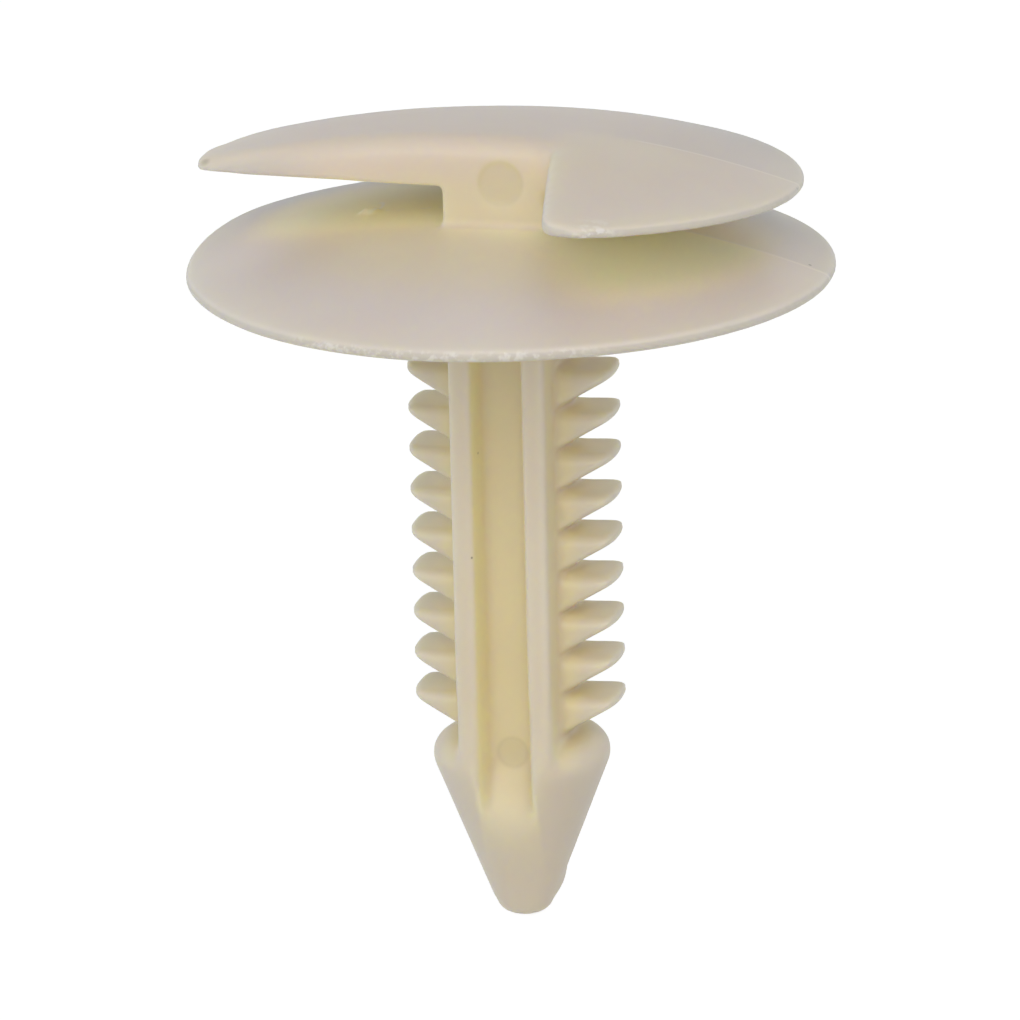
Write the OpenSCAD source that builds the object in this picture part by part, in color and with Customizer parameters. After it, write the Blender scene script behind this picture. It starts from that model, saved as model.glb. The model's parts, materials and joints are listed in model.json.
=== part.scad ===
// Push-in trim panel retainer, moulded in one piece of natural nylon.
// A notched head disc and a domed flange grip the trim panel between them.
// The barbed stem below the flange snaps into a round hole in the body panel.

/* [Flange] */
// diameter of the lower flange
flange_d = 25; // [18:0.5:32]
// height of the flange crown above its flat seat
flange_h = 2.6; // [1.8:0.1:4]
// thickness of the rounded flange rim
flange_rim = 0.5; // [0.3:0.02:0.8]

/* [Head disc] */
// diameter of the head disc
disc_d = 23.1; // [17:0.1:30]
// thickness of the head disc at its crown
disc_h = 2.05; // [1.4:0.05:3]
// thickness of the rounded disc rim
disc_rim = 0.44; // [0.3:0.02:0.8]
// offset of the disc against its lean
disc_shift = 0.45; // [0:0.05:1]
// opening between the flange crown and the disc underside
groove = 1.25; // [0.9:0.05:3]
// lean of the disc away from its open quarter
disc_tilt = 3.8; // [0:0.1:4]
// direction of that lean, counted from the right to the back
disc_lean_to = 70; // [0:1:90]

/* [Notch] */
// distance of the notch wall from the side of the neck
notch_gap = 0.3; // [0.1:0.1:1]
// slant of the wall that closes the open quarter of the disc
notch_draft = 10; // [0:0.5:15]
// radius in the inner corner of the notch
notch_root_r = 0.4; // [0.2:0.1:1]
// radius of the disc corner beside the notch
notch_corner_r = 0.8; // [0.3:0.1:2]
// radius along the top of the straight cut face
notch_edge_r = 0.9; // [0.2:0.1:1.2]

/* [Neck] */
// width of the neck along the notch edge
neck_w = 4; // [3:0.1:6]
// depth of the neck from front to back
neck_d = 5.3; // [3:0.1:7]

/* [Stem] */
// width of the stem over both ribs
stem_w = 3.76; // [3.2:0.02:5]
// depth of the ribs from front to back
rib_d = 6.28; // [5:0.02:7]
// thickness of one rib at its crest
rib_t = 0.88; // [0.6:0.02:1]
// thickness of the web between the two channels
web_t = 3.1; // [1.6:0.1:4]
// slant of the channel walls
channel_draft = 2.5; // [0:0.5:6]
// radius of the rib crests
rib_r = 0.16; // [0.05:0.01:0.25]
// radius along the foot of the channel walls
channel_r = 0.25; // [0.1:0.05:0.4]
// length over which the channels run out on the point
channel_run = 3.1; // [1.5:0.1:4]
// length over which the ribs fade into the point
rib_fade = 0.9; // [0.5:0.05:1.2]

/* [Barbs] */
// diameter over the barb tips
barb_d = 8.16; // [7:0.02:10]
// number of barbs on each side
barb_n = 9; // [4:1:12]
// spacing of the barbs
barb_pitch = 1.65; // [1.3:0.05:2.5]
// distance from the flange seat to the top of the first barb
barb_first = 3.5; // [2:0.1:6]
// width of the barbs from front to back
barb_w = 2.9; // [2.4:0.1:4.5]
// thickness of a barb at its tip
barb_t = 0.32; // [0.26:0.02:0.6]
// slope of the barb undersides
barb_slope = 32; // [25:1:40]
// radius of the upper barb tip edge
barb_r = 0.11; // [0.05:0.01:0.12]
// radius of the lower barb tip edge
barb_under_r = 0.34; // [0.1:0.02:0.34]
// radius of the barb corners in plan
barb_corner_r = 0.5; // [0.2:0.05:0.8]
// radius that rounds the barb tops off to the front and back
barb_crown_r = 0.45; // [0.2:0.05:0.8]

/* [Point] */
// largest diameter of the point
point_d = 6.94; // [6:0.02:9]
// distance from the last barb top to the top of the shoulder
point_gap = 1.85; // [1.7:0.05:3]
// radius of the rounded shoulder
shoulder_r = 0.8; // [0.5:0.05:1.3]
// length of the point below its widest place
point_l = 6.75; // [5:0.05:10]
// radius of the blunt end
tip_r = 1.36; // [0.8:0.02:1.8]

/* [Moulding marks] */
// diameter of the ejector mark on the neck
neck_mark_d = 1.8; // [1:0.1:2.2]
// offset of that mark from the stem axis
neck_mark_x = 0.3; // [0:0.1:0.6]
// diameter of the ejector mark in the channel
channel_mark_d = 1.3; // [0.8:0.1:1.3]
// depth of the ejector marks
mark_depth = 0.08; // [0.04:0.01:0.15]
// diameter of the gate stub on the flange
gate_d = 0.7; // [0.4:0.1:1.2]
// height of the gate stub above the flange
gate_h = 0.1; // [0.05:0.05:0.3]
// distance of the gate stub from the stem axis
gate_x = 5.5; // [4:0.1:7]

/* [Hidden] */
$fn = 96;
nylon = [0.82, 0.77, 0.68];
// length by which a cutting shape passes the faces that it cuts
over = 1;
flange_r = flange_d / 2;
rim_r = flange_rim / 2;
disc_r = disc_d / 2;
disc_z = flange_h + groove;
crown_z = disc_z + disc_h;
disc_axis = [
    sin(disc_tilt) * cos(disc_lean_to),
    sin(disc_tilt) * sin(disc_lean_to),
    cos(disc_tilt)
];
disc_foot = [-disc_shift * cos(disc_lean_to), -disc_shift * sin(disc_lean_to), disc_z];
cut_y = neck_d / 2;
notch_x = neck_w / 2 + notch_gap;
notch_root = [
    notch_x - notch_root_r * (1 - sin(notch_draft)) / cos(notch_draft),
    -cut_y - notch_root_r
];
// radius of the corner plug, set inside the notch corner so that its round crosses the wall
corner_r = notch_root_r / 2;
// length by which the straight round runs into the corner
corner_lap = notch_root_r / 4;
disc_rs = dome_r(disc_r, disc_h, disc_rim / 2);
disc_c = disc_foot + (disc_h - disc_rs) * disc_axis;
stem_x = stem_w / 2;
rib_y = rib_d / 2;
web_y = web_t / 2;
crest_x = stem_x - rib_t;
floor_x = crest_x - (rib_y - web_y) * tan(channel_draft);
tooth_r = barb_d / 2;
tooth_bed = stem_x - rib_t / 2;
tooth_h = barb_t + (tooth_r - tooth_bed) * tan(barb_slope);
// lower tip radius, kept clear of the upper one
under_r = min(barb_under_r, 0.9 * (barb_t - barb_r) * cos(barb_slope) / (1 - sin(barb_slope)));
last_z = -barb_first - (barb_n - 1) * barb_pitch;
point_r = point_d / 2;
shoulder_z = last_z - point_gap;
belly_z = shoulder_z - shoulder_r;
end_z = belly_z - point_l;
tip_c = [0, end_z + tip_r];
shoulder_c = [point_r - shoulder_r, belly_z];
cone_a = atan2(shoulder_c.y - tip_c.y, shoulder_c.x)
    - acos((tip_r - shoulder_r) / norm(shoulder_c - tip_c));
cone_top = shoulder_c + shoulder_r * [cos(cone_a), sin(cone_a)];
run_z = belly_z - channel_run;
gate_z = flange_h - dome_r(flange_r, flange_h, rim_r)
    + sqrt(pow(dome_r(flange_r, flange_h, rim_r), 2) - gate_x * gate_x);

// points along an arc about c
function arc(c, r, a0, a1, n) = [
    for (i = [0:n])
        c + r * [cos(a0 + (a1 - a0) * i / n), sin(a0 + (a1 - a0) * i / n)]
];

// the same outline mirrored across the vertical axis and run backwards
function mirrored(p) = [for (i = [len(p) - 1:-1:0]) [-p[i].x, p[i].y]];

// radius of the dome that runs smoothly into a round rim
function dome_r(ro, h, r) = (pow(ro - r, 2) + pow(h - r, 2) - r * r) / (2 * (h - 2 * r));

// half section of a domed disc with a flat underside and a round rim
function dome_section(ro, h, r) =
    let (rs = dome_r(ro, h, r), zc = h - rs, b = atan2(ro - r, r - zc))
    concat([[0, 0]], arc([ro - r, r], r, -90, 90 - b, 8), arc([0, zc], rs, 90 - b, 90, 20));

// section of the sliver between a flat face at y and a dome
// rs is the radius of the dome and r that of the round edge that joins them
function edge_section(y, rs, r) =
    let (
        c = [sqrt(pow(rs - r, 2) - pow(y + r, 2)), y + r],
        a = atan2(c.y, c.x)
    )
    concat(
        arc(c, r, -90, a, 6),
        [(rs + over) * [cos(a), sin(a)], [rs + over, y - over], [c.x, y - over]]
    );

// half section of the plug above a hole in a dome
// ri is the radius of the hole, rs that of the dome and r that of the edge between them
function corner_section(ri, rs, r) =
    let (
        c = [ri + r, sqrt(pow(rs - r, 2) - pow(ri + r, 2))],
        a = atan2(c.y, c.x)
    )
    concat(
        arc(c, r, 180, a, 6),
        [(rs + over) * [cos(a), sin(a)], [0, rs + over], [0, c.y]]
    );

// outline of a rectangle with round corners
function soft_box(x, y, r) = concat(
    arc([x - r, y - r], r, 0, 90, 4),
    arc([r - x, y - r], r, 90, 180, 4),
    arc([r - x, r - y], r, 180, 270, 4),
    arc([x - r, r - y], r, 270, 360, 4)
);

// right half of a channel outline, from its floor to beyond the rib crest
function channel_half() =
    let (
        d = channel_draft,
        foot = [floor_x - channel_r * (1 - sin(d)) / cos(d), web_y + channel_r],
        lip = [crest_x - rib_r * tan(d) + rib_r / cos(d), rib_y - rib_r]
    )
    concat(arc(foot, channel_r, -90, -d, 4), arc(lip, rib_r, 180 - d, 90, 4), [[lip.x, rib_y + over]]);

// half section of the ring that the barbs are cut from
function tooth() =
    let (s = barb_slope, low = under_r * (1 - sin(s)) / cos(s) - barb_t)
    concat(
        [[0, 0]],
        arc([tooth_r - barb_r, -barb_r], barb_r, 90, 0, 3),
        arc([tooth_r - under_r, low], under_r, 0, s - 90, 4),
        [[tooth_bed, -tooth_h], [0, -tooth_h]]
    );

// plan of one barb, open beyond the round of its tip
function barb_plan() =
    let (
        y = barb_w / 2 - barb_corner_r,
        c = [sqrt(pow(tooth_r - barb_corner_r, 2) - y * y), y],
        a = atan2(c.y, c.x),
        out = 2 * tooth_r * [cos(a), sin(a)],
        half = concat([out], arc(c, barb_corner_r, a, 90, 5), [[tooth_bed, barb_w / 2]])
    )
    concat(half, [for (i = [len(half) - 1:-1:0]) [half[i].x, -half[i].y]]);

// end view of one barb with its rounded top
function barb_end() =
    let (q = barb_crown_r, y = barb_w / 2)
    concat(
        [[y, -tooth_h - over]],
        arc([y - q, -q], q, 0, 90, 5),
        arc([q - y, -q], q, 90, 180, 5),
        [[-y, -tooth_h - over]]
    );

// height of the cone surface above the stem axis
function cone_r(z) = cone_top.x + (cone_top.y - z) * tan(cone_a);

// channel floor that rises smoothly to the cone surface
function run_out(n) = [
    for (i = [0:n])
        let (t = i / n, z = belly_z - channel_run * t)
            [web_y + (cone_r(z) - web_y) * t * t * (3 - 2 * t), z]
];

// half section of the arrow point
function point_section() = concat(
    [[0, shoulder_z]],
    arc(shoulder_c, shoulder_r, 90, cone_a, 8),
    arc(tip_c, tip_r, cone_a, -90, 8)
);

// plan of the open quarter of the head disc
function notch_plan() =
    let (
        d = notch_draft,
        along = [sin(d), -cos(d)],
        across = [cos(d), sin(d)],
        from = [notch_x, -cut_y] + notch_corner_r * across,
        b = from * along,
        s = sqrt(b * b - from * from + pow(disc_r - notch_corner_r, 2)) - b,
        corner = from + s * along,
        a = atan2(corner.y, corner.x)
    )
    concat(
        [[-disc_d, -cut_y]],
        arc(notch_root, notch_root_r, 90, d, 4),
        arc(corner, notch_corner_r, 180 + d, 360 + a, 8),
        [disc_d * [cos(a), sin(a)], [-disc_d, -disc_d]]
    );

// lower flange with its flat seat at height 0
module flange() {
    rotate_extrude()
        polygon(dome_section(flange_r, flange_h, rim_r));
}

// cutter that rounds the top edge of the straight cut face
module edge_round() {
    translate(disc_c)
        rotate([-90, 0, 0])
            rotate_extrude()
                polygon(edge_section(-cut_y - disc_c.y, disc_rs, notch_edge_r));
}

// cutter that carries that round about the inner corner of the notch
module corner_round() {
    x = notch_root.x - disc_c.x;
    y = notch_root.y - disc_c.y;
    translate(disc_c)
        rotate([0, asin(norm([x, y]) / disc_rs), atan2(y, x)])
            rotate_extrude()
                polygon(corner_section(corner_r, disc_rs, notch_edge_r));
}

// head disc, three quarters round
module disc() {
    difference() {
        translate(disc_foot)
            rotate(disc_tilt, [-sin(disc_lean_to), cos(disc_lean_to), 0])
                rotate_extrude()
                    polygon(dome_section(disc_r, disc_h, disc_rim / 2));
        translate([0, 0, disc_z - disc_d / 4])
            linear_extrude(disc_d / 2)
                polygon(notch_plan());
        intersection() {
            edge_round();
            translate([notch_root.x + corner_lap - disc_d, -disc_d, 0])
                cube([disc_d, disc_d, disc_d]);
        }
        corner_round();
    }
}

// block that joins the flange and the head disc
module neck() {
    translate([-neck_w / 2, -cut_y, flange_h / 2])
        cube([neck_w, neck_d, disc_z - flange_h / 2 + disc_h / 3]);
}

// solid that clears one channel along the stem and runs out on the point
module channel() {
    difference() {
        translate([0, 0, run_z - over])
            linear_extrude(over - run_z)
                polygon(concat(channel_half(), mirrored(channel_half())));
        rotate([90, 0, 90])
            translate([0, 0, -stem_w])
                linear_extrude(2 * stem_w)
                    polygon(concat(
                        [[0, belly_z]],
                        run_out(12),
                        [[rib_d, run_z], [rib_d, run_z - 2 * over], [0, run_z - 2 * over]]
                    ));
    }
}

// pair of ribs and the web, trimmed where they meet the point
module stem() {
    intersection() {
        translate([0, 0, belly_z - over])
            linear_extrude(over - belly_z + flange_h / 2)
                polygon(soft_box(stem_x, rib_y, rib_r));
        rotate_extrude()
            polygon([
                [0, belly_z - rib_fade],
                [point_r - rib_fade / 2, belly_z - rib_fade],
                [point_r + rib_fade / 4, belly_z + rib_fade],
                [rib_d, belly_z + 2 * rib_fade],
                [rib_d, flange_h],
                [0, flange_h]
            ]);
    }
}

// one barb, on the right of the stem, with its top at height 0
module barb() {
    intersection() {
        rotate_extrude()
            polygon(tooth());
        translate([0, 0, -tooth_h - over])
            linear_extrude(tooth_h + 2 * over)
                polygon(barb_plan());
        rotate([90, 0, 90])
            linear_extrude(2 * tooth_r)
                polygon(barb_end());
    }
}

// barbs on both sides of the stem
module barbs() {
    for (i = [0:barb_n - 1])
        translate([0, 0, -barb_first - i * barb_pitch]) {
            barb();
            mirror([1, 0, 0])
                barb();
        }
}

// arrow point with its rounded shoulder
module point() {
    rotate_extrude()
        polygon(point_section());
}

// stem and point with the channels cleared on both sides
module shank() {
    difference() {
        union() {
            stem();
            point();
        }
        channel();
        mirror([0, 1, 0])
            channel();
    }
}

// whole retainer, stem down
module retainer() {
    color(nylon)
        difference() {
            union() {
                flange();
                disc();
                neck();
                barbs();
                shank();
                translate([-gate_x, 0, 0])
                    cylinder(d = gate_d, h = gate_z + gate_h);
            }
            translate([neck_mark_x, mark_depth - cut_y, (flange_h + crown_z) / 2])
                rotate([90, 0, 0])
                    cylinder(d = neck_mark_d, h = neck_d);
            translate([0, mark_depth - web_y, (shoulder_z + belly_z) / 2])
                rotate([90, 0, 0])
                    cylinder(d = channel_mark_d, h = rib_y);
        }
}

retainer();
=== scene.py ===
"""A moulded nylon trim panel retainer, stem down, on a white ground under soft studio light."""

import json
import math

import bpy
import numpy as np
from mathutils import Matrix, Vector


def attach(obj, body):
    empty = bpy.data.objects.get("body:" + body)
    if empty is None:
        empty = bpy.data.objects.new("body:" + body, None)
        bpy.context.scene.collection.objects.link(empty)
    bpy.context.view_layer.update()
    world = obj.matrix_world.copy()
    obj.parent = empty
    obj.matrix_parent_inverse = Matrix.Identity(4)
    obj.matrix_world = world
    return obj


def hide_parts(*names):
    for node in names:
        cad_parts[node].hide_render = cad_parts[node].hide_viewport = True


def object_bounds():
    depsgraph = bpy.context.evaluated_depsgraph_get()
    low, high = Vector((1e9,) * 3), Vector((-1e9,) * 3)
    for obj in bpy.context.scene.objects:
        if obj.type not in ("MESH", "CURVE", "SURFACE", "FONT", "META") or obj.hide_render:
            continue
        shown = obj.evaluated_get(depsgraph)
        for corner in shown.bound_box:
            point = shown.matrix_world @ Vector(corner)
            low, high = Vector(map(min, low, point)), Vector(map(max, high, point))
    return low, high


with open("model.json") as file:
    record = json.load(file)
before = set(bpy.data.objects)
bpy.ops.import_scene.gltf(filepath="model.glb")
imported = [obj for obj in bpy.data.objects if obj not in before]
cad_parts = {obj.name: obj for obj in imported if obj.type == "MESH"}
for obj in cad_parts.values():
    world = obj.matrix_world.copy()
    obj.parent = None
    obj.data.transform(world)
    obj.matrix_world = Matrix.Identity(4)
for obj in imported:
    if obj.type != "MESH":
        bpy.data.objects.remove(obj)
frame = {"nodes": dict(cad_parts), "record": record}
cad_low, cad_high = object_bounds()

# Sizes below are in millimetres in the retainer's own upright frame.
# Its axis is Z with the head up, and the flange seat is at height 0.
MM = 0.001

# How the photograph was taken, seen from the upright retainer
VIEW_AZIMUTH = math.radians(13.7)
VIEW_ELEVATION = math.radians(17.17)
VIEW_ROLL = math.radians(1.342)
VIEW_DISTANCE = 309.0
IMAGE_PX = 1020
PX_PER_MM = 25.778
AIM = (0.0, 0.0, -10.0)
AIM_PX = (516.9, 521.4)
SENSOR = 36.0

# Lamps: distance from the retainer and width, in metres, and light levels
LAMP_DISTANCE = 0.60
LAMP_WIDTH = 0.40
WIDE_LAMP = 0.50
KEY_LEVEL = 0.345
TOP_LEVEL = 0.14
WINDOW_LEVEL = 0.13
FILL_LEVEL = 0.05
SKY_LEVEL = 0.26
HORIZON_LEVEL = 1.05
SKY_COLOR = (0.90, 0.95, 1.0, 1.0)
FLOOR_GLOW = 0.90
FLOOR_SHADE = 0.26
FLOOR_ALBEDO = 0.80
FLOOR_HALF = 4.0

# Painted light of the nylon, by how open it lies: from a brighter yellow glow painted deep in a recess,
# standing in for light through the nylon, to cream where fully open
RECESS_GLOW_COLORS = (
    (0.08, (0.97, 0.865, 0.56, 1.0)),
    (0.50, (0.84, 0.735, 0.51, 1.0)),
    (0.95, (0.745, 0.64, 0.565, 1.0)),
)
DEEP_REACH = 4.0
# radii between which flange and disc grow thin
THIN_FROM = 6.5
THIN_TO = 10.5
# painted yellow shade in the channel, as light through the nylon gives a recess
CHANNEL_SHADE_COLOR = (0.84, 0.75, 0.49, 1.0)
# painted yellow shade at the roots of the barbs, beside the ribs
ROOT_SHADE_COLOR = (0.80, 0.70, 0.43, 1.0)
BARB_COLOR = (0.70, 0.615, 0.53, 1.0)
POINT_COLOR = (0.70, 0.615, 0.49, 1.0)
NECK_COLOR = (0.74, 0.655, 0.47, 1.0)
# painted warm light on the inner part of the head disc's front right piece
DISC_WARM_LIGHT_COLOR = (0.83, 0.725, 0.55, 1.0)
RIM_COLOR = (0.765, 0.69, 0.69, 1.0)
# painted yellow glow on the flange top under the head disc, as light through the disc
UNDER_DISC_GLOW_COLOR = (0.82, 0.73, 0.54, 1.0)
# brighter painted glow deep in the groove between flange and disc
GROOVE_GLOW_COLOR = (1.0, 0.88, 0.595, 1.0)
# painted shade, darker and greyer on the thin parts towards the rear
REAR_SHADE_COLOR = (0.565, 0.53, 0.505, 1.0)
# painted shade on thin faces that do not face up
EDGE_SHADE_COLOR = (0.58, 0.52, 0.51, 1.0)
# the marks' own darker tone, and painted shade around each mark's rim
MARK_TONE_AND_SHADE_COLOR = (0.70, 0.62, 0.40, 1.0)
# the parting line, paler, and broken into painted glints on the flange top
SEAM_AND_GLINT_COLOR = (0.92, 0.84, 0.76, 1.0)
# painted highlights on the front rim, the lip and the ring of the gate
HIGHLIGHT_COLOR = (1.0, 0.97, 0.96, 1.0)
SPECK_COLOR = (0.10, 0.07, 0.04, 1.0)

# Softness of the moulded edges
VOXEL = 0.1
WELD = 0.002
SOFT_PASSES = 4
BARB_PASSES = 10
STEM_PASSES = 6
LIP_PASSES = 24
FADE_PASSES = 22
MOST_TRIANGLES = 190000

# Places on the retainer
NECK_MARK = (0.3, -2.6, 4.25)
NECK_MARK_R = 0.88
CHANNEL_MARK = (0.0, -1.5, -18.95)
CHANNEL_MARK_R = 0.64
# dirt: place, reach, softness and strength
SPECKS = (
    ((11.65, 0.31, 0.72), 0.06, 0.03, 0.6),
    ((11.38, -0.45, 3.93), 0.06, 0.03, 0.6),
    ((-11.43, -2.21, 4.54), 0.16, 0.12, 0.3),
    ((-0.96, -2.14, -6.64), 0.05, 0.02, 0.7),
    ((-1.06, -3.08, -10.58), 0.05, 0.02, 0.7),
)
# where the painted highlight on the lip lies
LIP_HIGHLIGHT = (5.6, -10.1, 3.9)
STEM_HALF = 1.88
BELLY = -19.35
TIP = -26.1
WORN_SPOT = (1.65, 0.45, -24.9)
GATE_SPOT = (-5.5, 0.0)
# the painted highlight ring of the gate is longer toward the rear than it is wide
GATE_HIGHLIGHT_Y = 0.6
GATE_SQUASH = 0.30
FLANGE_R = 12.5
FLANGE_TOP = 2.9
FIRST_BARB = -0.8
LAST_BARB = -18.6

# How far this retainer is out of its nominal form
FLANGE_LIFT = 0.40
LIFT_TURN = 145
FLANGE_SAG = 0.07
SAG_TURN = 252
DISC_LIFT = 0.13
DISC_STRETCH = 0.22
BARB_STRETCH = 0.08
BARB_RISE = 0.05
TIP_SPREAD = 0.16
TIP_BULGE = 0.12
GATE_RISE = 0.06

mounts = {m["name"]: m for m in frame["record"]["mounts"]}
up = -Vector(mounts["barbed_stem"]["axis"])
rear = -Vector(mounts["trim_groove"]["axis"])
right = rear.cross(up)
OWN = Matrix((right, rear, up)).transposed()


def at(x, y, z):
    """A point of the upright retainer, in metres in the shared frame."""
    return OWN @ Vector((x, y, z)) * MM


def photo_axes():
    """Right, up and back directions of the photograph's camera, in the shared frame."""
    a, e = VIEW_AZIMUTH, VIEW_ELEVATION
    level = Vector((math.cos(a), math.sin(a), 0))
    back = Vector((math.sin(a) * math.cos(e), -math.cos(a) * math.cos(e), math.sin(e)))
    high = back.cross(level)
    c, s = math.cos(VIEW_ROLL), math.sin(VIEW_ROLL)
    return OWN @ (level * c - high * s), OWN @ (level * s + high * c), OWN @ back


def look(location, x, y, z):
    """A placement with the given axes."""
    turn = Matrix((x, y, z)).transposed().to_4x4()
    return Matrix.Translation(location) @ turn


def add_camera():
    x, y, z = photo_axes()
    aside = (AIM_PX[0] - IMAGE_PX / 2) / PX_PER_MM
    below = (AIM_PX[1] - IMAGE_PX / 2) / PX_PER_MM
    spot = at(*AIM) + (z * VIEW_DISTANCE - x * aside + y * below) * MM
    data = bpy.data.cameras.new("camera")
    data.sensor_width = SENSOR
    data.lens = SENSOR * PX_PER_MM * VIEW_DISTANCE / IMAGE_PX
    data.clip_start = 0.01
    data.clip_end = 20
    camera = bpy.data.objects.new("camera", data)
    camera.matrix_world = look(spot, x, y, z)
    bpy.context.scene.collection.objects.link(camera)
    bpy.context.scene.camera = camera


def add_lamp(name, toward, size, level, color):
    """A square soft box that lights a facing white surface to the given level."""
    x, y, z = photo_axes()
    away = (x * toward[0] + y * toward[1] + z * toward[2]).normalized()
    data = bpy.data.lights.new(name, "AREA")
    data.shape = "SQUARE"
    data.size = size
    data.energy = level * (math.pi * LAMP_DISTANCE) ** 2
    data.color = color
    lamp = bpy.data.objects.new(name, data)
    lamp.location = at(*AIM) + away * LAMP_DISTANCE
    lamp.rotation_mode = "QUATERNION"
    lamp.rotation_quaternion = away.to_track_quat("Z", "Y")
    bpy.context.scene.collection.objects.link(lamp)


def nodes_of(owner):
    """The emptied node tree of a material or world."""
    owner.use_nodes = True
    tree = owner.node_tree
    tree.nodes.clear()
    return tree


def add(tree, kind, **settings):
    node = tree.nodes.new(kind)
    for key, value in settings.items():
        setattr(node, key, value)
    return node


def seen_directly(tree):
    """1 for camera, glossy and transmission rays, else 0."""
    path = add(tree, "ShaderNodeLightPath")
    total = add(tree, "ShaderNodeMath", operation="ADD")
    tree.links.new(path.outputs["Is Camera Ray"], total.inputs[0])
    tree.links.new(path.outputs["Is Glossy Ray"], total.inputs[1])
    more = add(tree, "ShaderNodeMath", operation="ADD", use_clamp=True)
    tree.links.new(total.outputs[0], more.inputs[0])
    tree.links.new(path.outputs["Is Transmission Ray"], more.inputs[1])
    return more.outputs[0]


def add_world():
    world = bpy.data.worlds.new("studio")
    bpy.context.scene.world = world
    tree = nodes_of(world)
    sky = add(tree, "ShaderNodeBackground")
    sky.inputs["Color"].default_value = SKY_COLOR
    facing = add(tree, "ShaderNodeSeparateXYZ")
    tree.links.new(add(tree, "ShaderNodeTexCoord").outputs["Generated"], facing.inputs[0])
    height = add(tree, "ShaderNodeMath", operation="ABSOLUTE")
    tree.links.new(facing.outputs["Z"], height.inputs[0])
    level = add(tree, "ShaderNodeMapRange", interpolation_type="SMOOTHSTEP")
    level.inputs["From Max"].default_value = 0.6
    level.inputs["To Min"].default_value = HORIZON_LEVEL
    level.inputs["To Max"].default_value = SKY_LEVEL
    tree.links.new(height.outputs[0], level.inputs["Value"])
    tree.links.new(level.outputs["Result"], sky.inputs["Strength"])
    white = add(tree, "ShaderNodeBackground")
    white.inputs["Color"].default_value = (1, 1, 1, 1)
    mix = add(tree, "ShaderNodeMixShader")
    tree.links.new(seen_directly(tree), mix.inputs["Fac"])
    tree.links.new(sky.outputs[0], mix.inputs[1])
    tree.links.new(white.outputs[0], mix.inputs[2])
    out = add(tree, "ShaderNodeOutputWorld")
    tree.links.new(mix.outputs[0], out.inputs["Surface"])


def floor_material():
    material = bpy.data.materials.new("floor_white")
    tree = nodes_of(material)
    glow = add(tree, "ShaderNodeEmission")
    glow.inputs["Strength"].default_value = FLOOR_GLOW
    shade = add(tree, "ShaderNodeBsdfDiffuse")
    shade.inputs["Color"].default_value = (FLOOR_SHADE, FLOOR_SHADE, FLOOR_SHADE, 1)
    shown = add(tree, "ShaderNodeAddShader")
    tree.links.new(glow.outputs[0], shown.inputs[0])
    tree.links.new(shade.outputs[0], shown.inputs[1])
    plain = add(tree, "ShaderNodeBsdfDiffuse")
    plain.inputs["Color"].default_value = (FLOOR_ALBEDO, FLOOR_ALBEDO, FLOOR_ALBEDO, 1)
    mix = add(tree, "ShaderNodeMixShader")
    tree.links.new(seen_directly(tree), mix.inputs["Fac"])
    tree.links.new(plain.outputs[0], mix.inputs[1])
    tree.links.new(shown.outputs[0], mix.inputs[2])
    out = add(tree, "ShaderNodeOutputMaterial")
    tree.links.new(mix.outputs[0], out.inputs["Surface"])
    return material


def add_floor():
    half = FLOOR_HALF
    z = cad_low.z
    mesh = bpy.data.meshes.new("floor")
    corners = [(-half, -half, z), (half, -half, z), (half, half, z), (-half, half, z)]
    mesh.from_pydata(corners, [], [(0, 1, 2, 3)])
    mesh.materials.append(floor_material())
    floor = bpy.data.objects.new("floor", mesh)
    bpy.context.scene.collection.objects.link(floor)


def step(tree, value, low, high):
    """A soft step of a value, from 0 at low to 1 at high."""
    node = add(tree, "ShaderNodeMapRange", interpolation_type="SMOOTHSTEP")
    node.inputs["From Min"].default_value = low
    node.inputs["From Max"].default_value = high
    tree.links.new(value, node.inputs["Value"])
    return node.outputs["Result"]


def near(tree, place, point, reach, soft):
    """1 within reach of a point of the retainer, fading to 0."""
    span = add(tree, "ShaderNodeVectorMath", operation="DISTANCE")
    span.inputs[1].default_value = at(*point)
    tree.links.new(place, span.inputs[0])
    return step(tree, span.outputs["Value"], (reach + soft) * MM, (reach - soft) * MM)


def blend(tree, factor, first, second):
    """A mix of two colours, each a plain value or a socket."""
    node = add(tree, "ShaderNodeMix", data_type="RGBA")
    tree.links.new(factor, node.inputs["Factor"])
    for name, color in (("A", first), ("B", second)):
        if isinstance(color, tuple):
            node.inputs[name].default_value = color
        else:
            tree.links.new(color, node.inputs[name])
    return node.outputs["Result"]


def times(tree, first, second):
    """The product of a socket and a number or another socket."""
    node = add(tree, "ShaderNodeMath", operation="MULTIPLY")
    tree.links.new(first, node.inputs[0])
    if isinstance(second, float):
        node.inputs[1].default_value = second
    else:
        tree.links.new(second, node.inputs[1])
    return node.outputs[0]


def size_of(tree, value):
    node = add(tree, "ShaderNodeMath", operation="ABSOLUTE")
    tree.links.new(value, node.inputs[0])
    return node.outputs[0]


def noise(tree, place, scale, detail):
    node = add(tree, "ShaderNodeTexNoise")
    node.inputs["Scale"].default_value = scale
    node.inputs["Detail"].default_value = detail
    tree.links.new(place, node.inputs["Vector"])
    return node.outputs["Fac"]


def own_places(tree, place):
    """Distances in metres along the retainer's own axes and from its stem axis."""
    x, y, z = add(tree, "ShaderNodeSeparateXYZ").outputs
    tree.links.new(place, x.node.inputs[0])
    square = add(tree, "ShaderNodeMath", operation="MULTIPLY_ADD")
    tree.links.new(x, square.inputs[0])
    tree.links.new(x, square.inputs[1])
    tree.links.new(times(tree, y, y), square.inputs[2])
    r = add(tree, "ShaderNodeMath", operation="SQRT")
    tree.links.new(square.outputs[0], r.inputs[0])
    return x, y, z, r.outputs[0]


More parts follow.
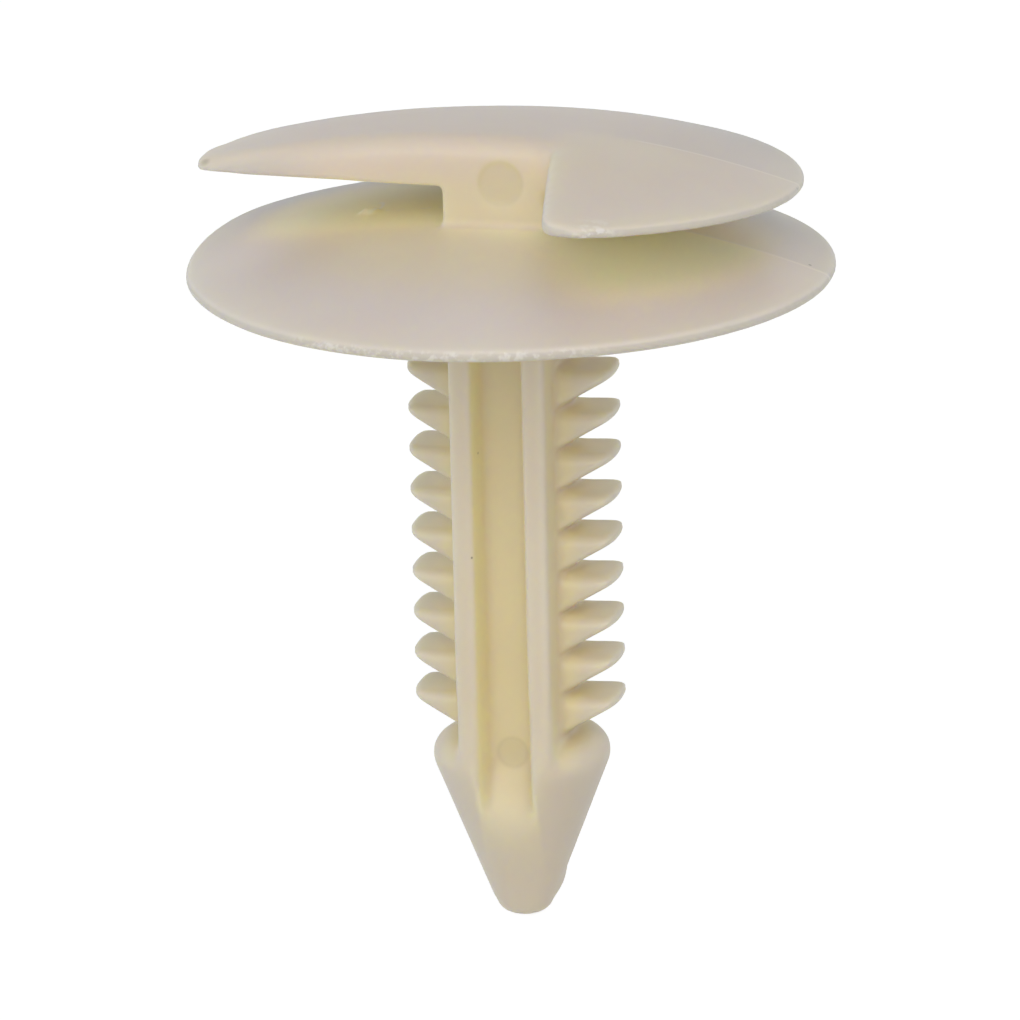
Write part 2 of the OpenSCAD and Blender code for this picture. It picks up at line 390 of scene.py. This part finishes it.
def all_of(tree, *masks):
    """The product of several masks."""
    product = masks[0]
    for mask in masks[1:]:
        product = times(tree, product, mask)
    return product


def less(tree, first, second):
    """What the first mask has beyond the second."""
    node = add(tree, "ShaderNodeMath", operation="SUBTRACT", use_clamp=True)
    tree.links.new(first, node.inputs[0])
    tree.links.new(second, node.inputs[1])
    return node.outputs[0]


class Coat:
    """The nylon's colour, with the light and shade painted into it, laid on layer by layer, with masks
    by place in millimetres.
    """

    def __init__(self, tree, place):
        self.tree = tree
        self.place = place
        self.x, self.y, self.z, self.r = own_places(tree, place)
        self.across = size_of(tree, self.x)
        self.deep = size_of(tree, self.y)
        depth = add(tree, "ShaderNodeAmbientOcclusion", samples=16, only_local=True)
        depth.inputs["Distance"].default_value = DEEP_REACH * MM
        self.openness = depth.outputs["AO"]
        self.thin = self.span(self.r, THIN_FROM, THIN_TO)
        self.below = self.span(self.z, 0.2, -0.2)
        self.above = self.span(self.z, 0.0, 0.2)
        self.flange = self.span(self.z, FLANGE_TOP, FLANGE_TOP - 0.4)
        self.color = None

    def span(self, value, low, high):
        return step(self.tree, value, low * MM, high * MM)

    def lay(self, color, share, *masks):
        """Cover a share of what lies below the masks with a colour."""
        factor = times(self.tree, all_of(self.tree, *masks), share)
        self.color = blend(self.tree, factor, self.color, color)


def lay_ground(coat):
    """Cream where the nylon lies open, and a yellow glow painted where it lies deep, as light through
    the nylon.
    """
    tree = coat.tree
    open_share = add(tree, "ShaderNodeMath", operation="ADD", use_clamp=True)
    tree.links.new(coat.openness, open_share.inputs[0])
    # thin parts count as more open, so they take less of the painted glow
    tree.links.new(times(tree, coat.thin, 0.25), open_share.inputs[1])
    shades = add(tree, "ShaderNodeValToRGB")
    shades.color_ramp.elements.new(0.5)
    for element, (spot, shade) in zip(shades.color_ramp.elements, RECESS_GLOW_COLORS):
        element.position = spot
        element.color = shade
    tree.links.new(open_share.outputs[0], shades.inputs["Fac"])
    coat.color = shades.outputs["Color"]


def lay_head(coat):
    """Flange, neck and head disc, with a painted glow on the flange under the disc, painted warm light
    on the disc's front right piece, and painted shade on the thin rear and on the side faces of the
    thin rims.
    """
    tree, span = coat.tree, coat.span
    coat.lay(RIM_COLOR, 0.35, coat.thin)
    coat.lay(RIM_COLOR, 0.5, coat.thin, coat.flange)
    coat.lay(NECK_COLOR, 0.6, coat.above, span(coat.r, 6.0, 3.0), span(coat.z, 5.2, 3.6))
    # painted yellow glow on the flange top under the disc
    coat.lay(UNDER_DISC_GLOW_COLOR, 0.75, coat.above, coat.flange, span(coat.r, 10.5, 5.5))
    # brighter painted glow where the groove lies deepest
    coat.lay(GROOVE_GLOW_COLOR, 0.9, coat.above, coat.flange, step(tree, coat.openness, 0.75, 0.35))
    # painted warm light on the head disc's front right piece
    coat.lay(DISC_WARM_LIGHT_COLOR, 0.5, span(coat.z, FLANGE_TOP, FLANGE_TOP + 0.4), span(coat.r, 11.0, 5.0),
             span(coat.y, 1.0, -1.0), span(coat.x, 1.5, 3.0))
    # painted shade on the thin rear of flange and disc, and on the rear right
    coat.lay(REAR_SHADE_COLOR, 0.6, coat.above, coat.thin, span(coat.y, 0.5, 7.0))
    coat.lay(REAR_SHADE_COLOR, 0.24, coat.above, span(coat.y, -0.03, 0.03), span(coat.x, 3.0, 7.0))
    # painted shade on the side faces of the thin rims, by which way they face
    facing = add(tree, "ShaderNodeSeparateXYZ")
    tree.links.new(add(tree, "ShaderNodeTexCoord").outputs["Normal"], facing.inputs[0])
    coat.lay(EDGE_SHADE_COLOR, 0.85, coat.thin, step(tree, facing.outputs[2], 0.85, 0.3))


def lay_stem(coat):
    """Point, channel, barbs and the roots of the barbs, with painted yellow shade in the channel and at
    the roots of the barbs.
    """
    tree, span = coat.tree, coat.span
    coat.lay(POINT_COLOR, 0.35, coat.below)
    coat.lay(POINT_COLOR, 0.5, span(coat.z, -18.6, -20.0))
    # painted yellow shade in the channel
    coat.lay(CHANNEL_SHADE_COLOR, 0.9, coat.below, span(coat.across, 1.3, 1.05), span(coat.z, -25.0, -18.5),
             span(coat.deep, 3.05, 2.75))
    coat.lay(BARB_COLOR, 0.8, coat.below, span(coat.across, STEM_HALF, 2.2), span(coat.z, -19.2, -18.2),
             step(tree, coat.openness, 0.15, 0.55))
    # painted yellow shade at the roots of the barbs
    coat.lay(ROOT_SHADE_COLOR, 0.7, coat.below, span(coat.across, 3.0, 2.2), span(coat.across, 1.6, 1.85),
             span(coat.deep, 3.0, 2.4), span(coat.z, -19.6, -18.6))


def lay_clouds(coat):
    """Paler clouds in the nylon and the round marks of the mould, each with painted shade around its
    rim.
    """
    tree = coat.tree
    cloud = step(tree, noise(tree, coat.place, 160, 3), 0.3, 0.7)
    pale = add(tree, "ShaderNodeHueSaturation")
    pale.inputs["Saturation"].default_value = 0.90
    pale.inputs["Value"].default_value = 1.02
    tree.links.new(coat.color, pale.inputs["Color"])
    coat.color = blend(tree, cloud, coat.color, pale.outputs["Color"])
    for point, reach in ((NECK_MARK, NECK_MARK_R), (CHANNEL_MARK, CHANNEL_MARK_R)):
        mark = near(tree, coat.place, point, reach, 0.10)
        hollow = near(tree, coat.place, point, reach - 0.12, 0.08)
        # the mark's own darker tone
        coat.lay(MARK_TONE_AND_SHADE_COLOR, 0.35, mark)
        # painted shade around the mark's rim
        coat.lay(MARK_TONE_AND_SHADE_COLOR, 0.30, less(tree, mark, hollow))


def lay_highlights_and_dirt(coat):
    """Parting line with painted glints, painted highlights on the front rim, the lip and the ring of
    the gate, and specks of dirt.
    """
    tree, span = coat.tree, coat.span
    rough = step(tree, noise(tree, coat.place, 3200, 2), 0.45, 0.65)
    # the parting line along the disc's right piece, paler
    coat.lay(SEAM_AND_GLINT_COLOR, 0.45, span(coat.deep, 0.14, 0.04), span(coat.x, 4.6, 5.4))
    # painted glints along the parting line on the flange top
    coat.lay(SEAM_AND_GLINT_COLOR, 0.6, span(coat.deep, 0.18, 0.08), rough, coat.flange,
             span(coat.across, 5.4, 5.2), coat.above)
    # painted highlight along the front rim
    coat.lay(HIGHLIGHT_COLOR, 0.35, span(coat.r, 12.3, 12.45), span(coat.y, -10.6, -11.8), rough)
    # painted highlight spots on the lip
    coat.lay(HIGHLIGHT_COLOR, 0.6, near(tree, coat.place, LIP_HIGHLIGHT, 0.9, 0.5), rough)
    # a painted highlight ring around the gate
    flat = add(tree, "ShaderNodeVectorMath", operation="MULTIPLY")
    flat.inputs[1].default_value = (1.0, GATE_SQUASH, 0.0)
    tree.links.new(coat.place, flat.inputs[0])
    center = (GATE_SPOT[0], GATE_HIGHLIGHT_Y * GATE_SQUASH, 0.0)
    outer = near(tree, flat.outputs[0], center, 0.30, 0.06)
    ring = less(tree, outer, near(tree, flat.outputs[0], center, 0.22, 0.06))
    coat.lay(HIGHLIGHT_COLOR, 0.7, ring, coat.above, coat.flange,
             span(coat.x, GATE_SPOT[0] - 0.2, GATE_SPOT[0] + 0.2))
    for point, reach, soft, share in SPECKS:
        coat.lay(SPECK_COLOR, share, near(tree, coat.place, point, reach, soft))


def nylon_color(tree, place):
    """The finished colour of the nylon, with its painted light and shade."""
    coat = Coat(tree, place)
    for layer in (lay_ground, lay_head, lay_stem, lay_clouds, lay_highlights_and_dirt):
        layer(coat)
    return coat.color


def nylon_material():
    """Natural nylon, cloudy and a little waxy."""
    material = bpy.data.materials.new("natural_nylon")
    tree = nodes_of(material)
    place = add(tree, "ShaderNodeTexCoord").outputs["Object"]
    bump = add(tree, "ShaderNodeBump")
    bump.inputs["Strength"].default_value = 0.12
    bump.inputs["Distance"].default_value = 0.00002
    tree.links.new(noise(tree, place, 2600, 4), bump.inputs["Height"])
    nylon = add(tree, "ShaderNodeBsdfPrincipled")
    nylon.inputs["Roughness"].default_value = 0.42
    nylon.inputs["IOR"].default_value = 1.53
    nylon.inputs["Subsurface Weight"].default_value = 1.0
    nylon.inputs["Subsurface Radius"].default_value = (0.85, 1.0, 0.4)
    nylon.inputs["Subsurface Scale"].default_value = 0.0012
    tree.links.new(nylon_color(tree, place), nylon.inputs["Base Color"])
    tree.links.new(bump.outputs["Normal"], nylon.inputs["Normal"])
    out = add(tree, "ShaderNodeOutputMaterial")
    tree.links.new(nylon.outputs[0], out.inputs["Surface"])
    return material


def evaluated_mesh(mesh, modifiers):
    """The mesh that comes out of a list of modifiers, each a type and its settings."""
    draft = bpy.data.objects.new("draft", mesh)
    bpy.context.scene.collection.objects.link(draft)
    for kind, settings in modifiers:
        modifier = draft.modifiers.new(kind.lower(), kind)
        for key, value in settings.items():
            setattr(modifier, key, value)
    made = bpy.data.meshes.new_from_object(
        draft.evaluated_get(bpy.context.evaluated_depsgraph_get()))
    bpy.data.objects.remove(draft)
    bpy.data.meshes.remove(mesh)
    return made


def ramp(values, low, high):
    """A soft step of many values, from 0 at low to 1 at high."""
    t = np.clip((values - low) / (high - low), 0, 1)
    return t * t * (3 - 2 * t)


def relax(points, edges, share, passes):
    """Each pass moves the points by their share toward the middle of their neighbours."""
    a, b = edges.T
    n = len(points)
    count = np.bincount(edges.ravel(), minlength=n)
    for _ in range(passes):
        for k in range(3):
            v = points[:, k]
            total = np.bincount(a, v[b], n) + np.bincount(b, v[a], n)
            points[:, k] = v + share * (total / count - v)


def barbed(z):
    """1 along the row of barbs."""
    return ramp(z, FIRST_BARB, FIRST_BARB - 0.8) * ramp(z, LAST_BARB, LAST_BARB + 0.4)


def soften(points, edges):
    """Round the edges as a mould leaves them, more at the barbs, the lip and the rib ends."""
    x, y, z = points.T.copy()
    relax(points, edges, np.full(len(points), 0.5), SOFT_PASSES)
    barb = ramp(np.abs(x), STEM_HALF, STEM_HALF + 0.4) * barbed(z)
    relax(points, edges, 0.5 * barb, BARB_PASSES)
    stem = ramp(z, -0.3, -0.8) * ramp(np.abs(x), 2.4, 2.1)
    relax(points, edges, 0.5 * stem, STEM_PASSES)
    lip = ramp(z, 3.2, 3.5) * ramp(y, -1.0, -2.4) * ramp(x, 1.4, 1.9) * ramp(x, 6.0, 4.6)
    relax(points, edges, 0.5 * lip, LIP_PASSES)
    fade = ramp(np.abs(z - BELLY), 3.4, 2.6) * ramp(np.abs(x), 2.2, 1.9)
    relax(points, edges, 0.5 * fade, FADE_PASSES)


def warp(points):
    """The slight set that this retainer took: flange, disc, barbs and tip."""
    x, y, z = points.T.copy()
    r = np.hypot(x, y)
    turn = np.degrees(np.arctan2(y, x)) % 360
    flange = ramp(z, 2.75, 2.6) * ramp(z, -0.1, 0.0) * ramp(r, 4.0, FLANGE_R) * r / FLANGE_R
    lift = FLANGE_LIFT * ramp(np.abs(turn - LIFT_TURN), 55, 10)
    sag = FLANGE_SAG * ramp(np.abs(turn - SAG_TURN), 45, 10)
    points[:, 2] += flange * (lift - sag)
    gate = ramp(np.hypot(x - GATE_SPOT[0], y - GATE_SPOT[1]), 0.42, 0.22)
    gate *= ramp(z, 1.8, 2.0) * ramp(z, FLANGE_TOP, FLANGE_TOP - 0.2)
    points[:, 2] += GATE_RISE * gate
    disc = ramp(z, FLANGE_TOP, FLANGE_TOP + 0.2)
    points[:, 2] += disc * DISC_LIFT * ramp(y, 0.0, 10.0) * ramp(x, -4.0, 4.0)
    points[:, 0] -= disc * DISC_STRETCH * ramp(x, -8.5, -11.3) * ramp(y, 1.5, -0.5)
    barb = barbed(z) * ramp(np.abs(x), 2.2, 4.0)
    points[:, 0] += barb * BARB_STRETCH * np.sign(x)
    points[:, 2] += barb * BARB_RISE
    tip = ramp(z, TIP + 0.7, TIP + 0.1)
    points[:, 0] *= 1 + TIP_SPREAD * tip
    points[:, 1] *= 1 + TIP_SPREAD * tip
    worn = ramp(np.linalg.norm(points - WORN_SPOT, axis=1), 0.9, 0.1)
    points[:, 0] += TIP_BULGE * worn


def moulding_mesh(source):
    """A fine even mesh of the retainer with softened edges."""
    mesh = evaluated_mesh(source.data.copy(), [
        ("WELD", {"merge_threshold": WELD * MM}),
        ("REMESH", {"mode": "VOXEL", "voxel_size": VOXEL * MM}),
    ])
    own = np.array(OWN) / MM
    points = np.empty(len(mesh.vertices) * 3)
    mesh.vertices.foreach_get("co", points)
    points = points.reshape(-1, 3) @ own
    edges = np.empty(len(mesh.edges) * 2, dtype=np.int32)
    mesh.edges.foreach_get("vertices", edges)
    soften(points, edges.reshape(-1, 2))
    warp(points)
    mesh.vertices.foreach_set("co", (points @ np.linalg.inv(own)).ravel())
    mesh.update()
    triangles = 2 * len(mesh.polygons)
    mesh = evaluated_mesh(mesh, [("DECIMATE", {"ratio": min(1, MOST_TRIANGLES / triangles)})])
    mesh.name = "moulding"
    mesh.shade_smooth()
    return mesh


def add_retainer():
    mesh = moulding_mesh(frame["nodes"]["retainer"])
    mesh.materials.clear()
    mesh.materials.append(nylon_material())
    piece = bpy.data.objects.new("moulding", mesh)
    bpy.context.scene.collection.objects.link(piece)
    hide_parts("retainer")
    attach(piece, "root")


bpy.context.scene.view_settings.view_transform = "Standard"
add_camera()
add_world()
add_lamp("key", (-0.15, 0.25, 1.0), LAMP_WIDTH, KEY_LEVEL, (1.0, 0.94, 0.80))
add_lamp("top", (0.3, 0.8, 0.75), LAMP_WIDTH, TOP_LEVEL, (1.0, 0.94, 0.84))
add_lamp("fill", (0.75, 0.05, 0.66), WIDE_LAMP, FILL_LEVEL, (1.0, 0.95, 0.86))
add_lamp("window", (-1.0, 0.25, 0.15), WIDE_LAMP, WINDOW_LEVEL, (0.78, 0.92, 1.0))
add_floor()
add_retainer()
